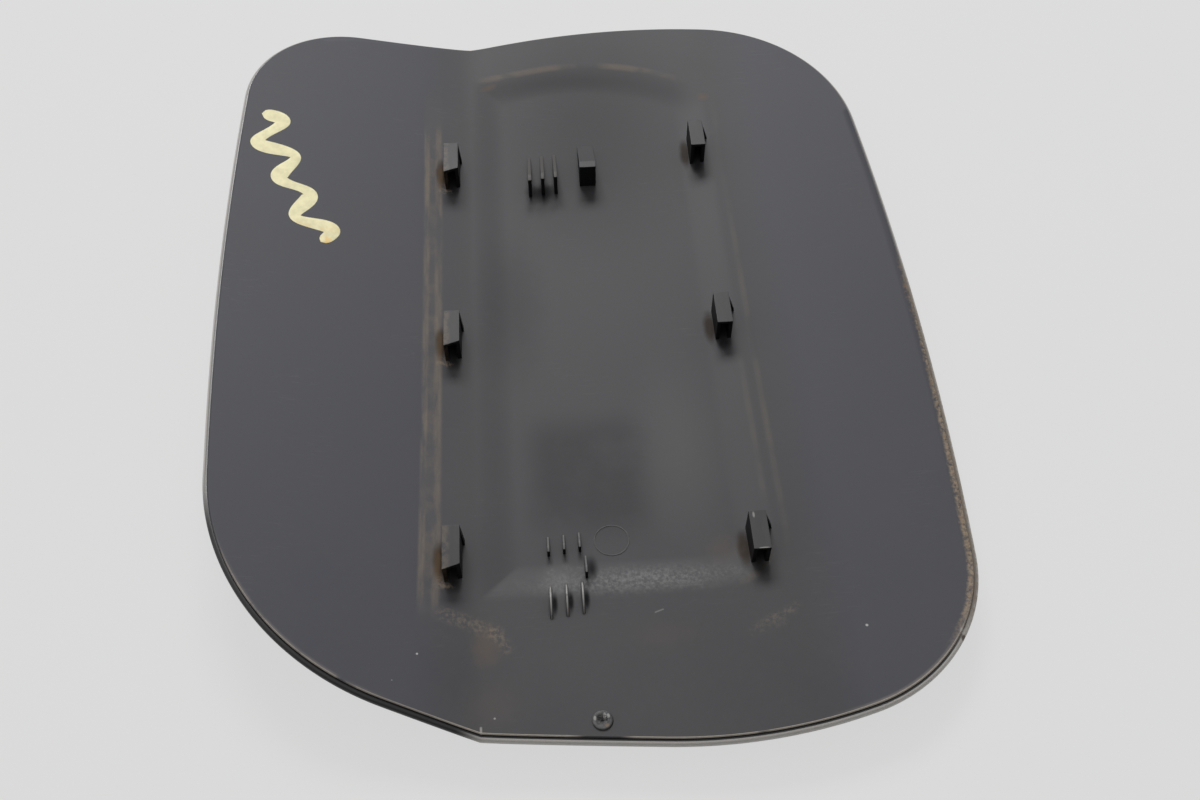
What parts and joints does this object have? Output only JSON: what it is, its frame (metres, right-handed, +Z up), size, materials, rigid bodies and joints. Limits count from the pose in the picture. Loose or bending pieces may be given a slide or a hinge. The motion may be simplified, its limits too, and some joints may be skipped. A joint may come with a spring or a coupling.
{
  "type": "car fuel door skin",
  "caption": "Moulded outer skin of a car's fuel door, lying inner face up, with slide-on clips, a locking tab and location ribs",
  "frame": {"origin": "Middle of the part's box at its lowest point, where the crowned outer face touches the surface below", "axes": "+Z up out of the inner face, +Y along the body crease towards the edge by the locking tab, +X from the crease towards the wide main panel"},
  "size_m": [0.1694, 0.2144, 0.0206],
  "materials": {
    "moulding": "black moulded plastic, fine satin texture, dusty",
    "paint": "silver body paint under clear coat, on the outer face only"
  },
  "bodies": {
    "root": {"door_skin": "moulding"}
  },
  "joints": []
}
